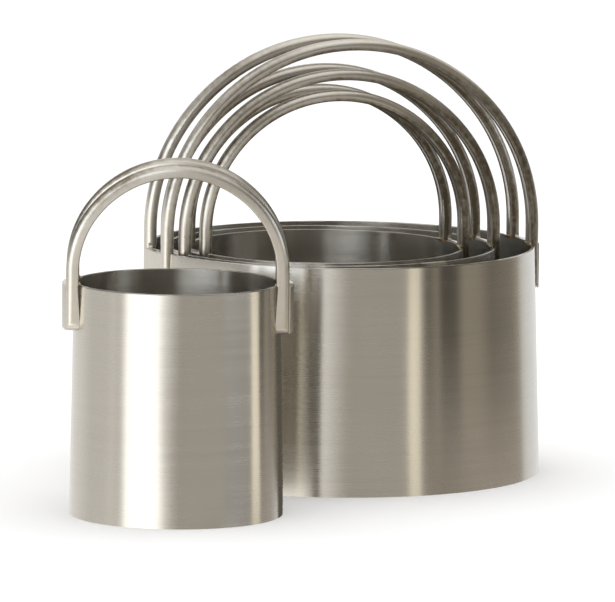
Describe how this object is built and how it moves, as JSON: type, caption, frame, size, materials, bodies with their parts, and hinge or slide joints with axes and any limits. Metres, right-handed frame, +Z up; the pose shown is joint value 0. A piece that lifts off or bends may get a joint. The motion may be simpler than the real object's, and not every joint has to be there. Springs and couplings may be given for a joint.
{
  "type": "biscuit cutter set",
  "caption": "Nesting round cutters for biscuits and pastry: open steel rings, each with an arched double bar strap handle for pressing and lifting.",
  "frame": {"origin": "centre of the bounding box of the standing set, on the table plane", "axes": "+Z up along the axes of the rings, +Y from the small cutter in front towards the nested cutters behind, +X to the right as seen from the front"},
  "size_m": [0.0926, 0.1198, 0.0856],
  "materials": {
    "ring_steel": "fine brushing round the ring, warm grey stainless",
    "handle_steel": "satin stainless polished along the bars",
    "weld_bead": "straw coloured heat tint over the bead"
  },
  "bodies": {
    "inner_cutter": {"inner_ring": "ring_steel", "inner_handle": "handle_steel", "inner_weld_beads": "weld_bead"},
    "middle_cutter": {"middle_ring": "ring_steel", "middle_handle": "handle_steel", "middle_weld_beads": "weld_bead"},
    "outer_cutter": {"outer_ring": "ring_steel", "outer_handle": "handle_steel", "outer_weld_beads": "weld_bead"},
    "small_cutter": {"small_ring": "ring_steel", "small_handle": "handle_steel", "small_weld_beads": "weld_bead"}
  },
  "joints": [
    {"name": "middle_lift", "type": "slide", "parent": "inner_cutter", "child": "middle_cutter", "axis": [0, 0, 1], "range_m": [0, 0.08]},
    {"name": "outer_lift", "type": "slide", "parent": "middle_cutter", "child": "outer_cutter", "axis": [0, 0, 1], "range_m": [0, 0.085]},
    {"name": "small_lift", "type": "slide", "parent": "inner_cutter", "child": "small_cutter", "axis": [0, 0, 1], "range_m": [0, 0.09]}
  ]
}
